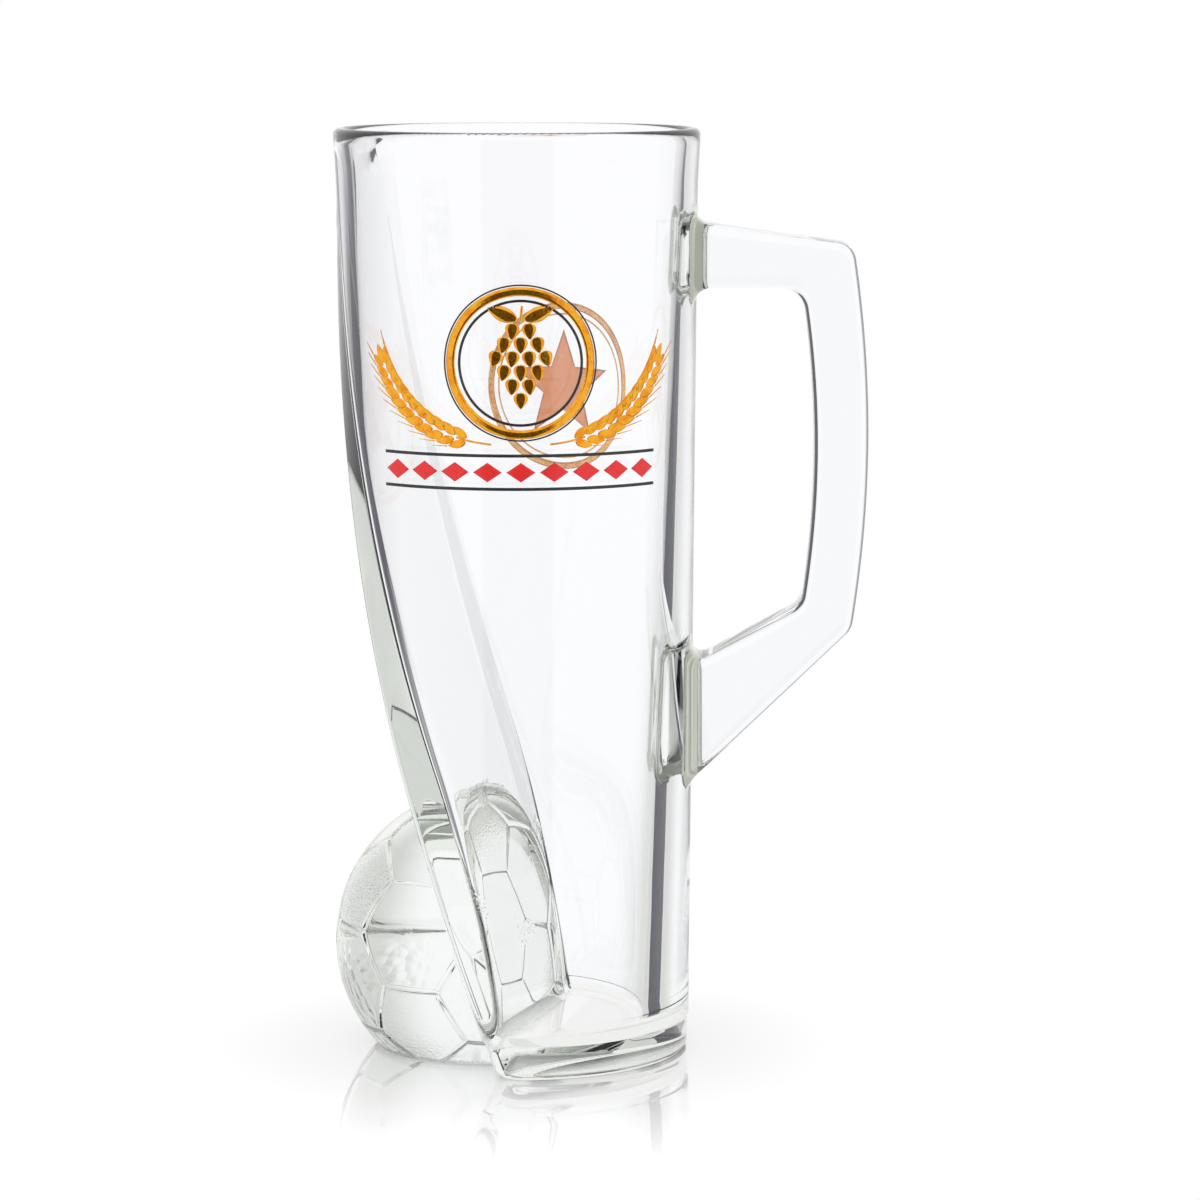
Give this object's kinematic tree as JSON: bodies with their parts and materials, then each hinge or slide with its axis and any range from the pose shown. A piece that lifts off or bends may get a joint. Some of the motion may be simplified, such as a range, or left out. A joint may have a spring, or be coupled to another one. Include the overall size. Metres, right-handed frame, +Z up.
{
  "type": "beer mug",
  "caption": "Tall glass beer mug with a leaning facet down its front, a football moulded into its foot, an angular strap handle and a gold barley print.",
  "frame": {"origin": "middle of the bounding box, on the surface the mug stands on", "axes": "+Z up along the tube, -X towards the football, +X away from it, -Y out of the printed front; the handle points 14.5 degrees from +X towards +Y"},
  "size_m": [0.1236, 0.0846, 0.215],
  "materials": {
    "clear_glass": "fire-polished clear glass",
    "handle_glass": "pressed clear glass",
    "ball_glass": "pressed clear glass, some panels stippled",
    "print_gold": "fired gold lustre",
    "print_black": "fired enamel",
    "print_red": "fired enamel",
    "back_gold": "fired gold lustre",
    "back_red": "fired enamel"
  },
  "bodies": {
    "root": {"mug_body": "clear_glass", "handle": "handle_glass", "football": "ball_glass", "print_medallion_ring": "print_gold", "print_medallion_line": "print_black", "print_hop": "print_gold", "print_ear_left": "print_gold", "print_ear_right": "print_gold", "print_lozenges": "print_red", "print_rule_upper": "print_black", "print_rule_lower": "print_black", "print_back_ring": "back_gold", "print_back_star": "back_red"}
  },
  "joints": []
}
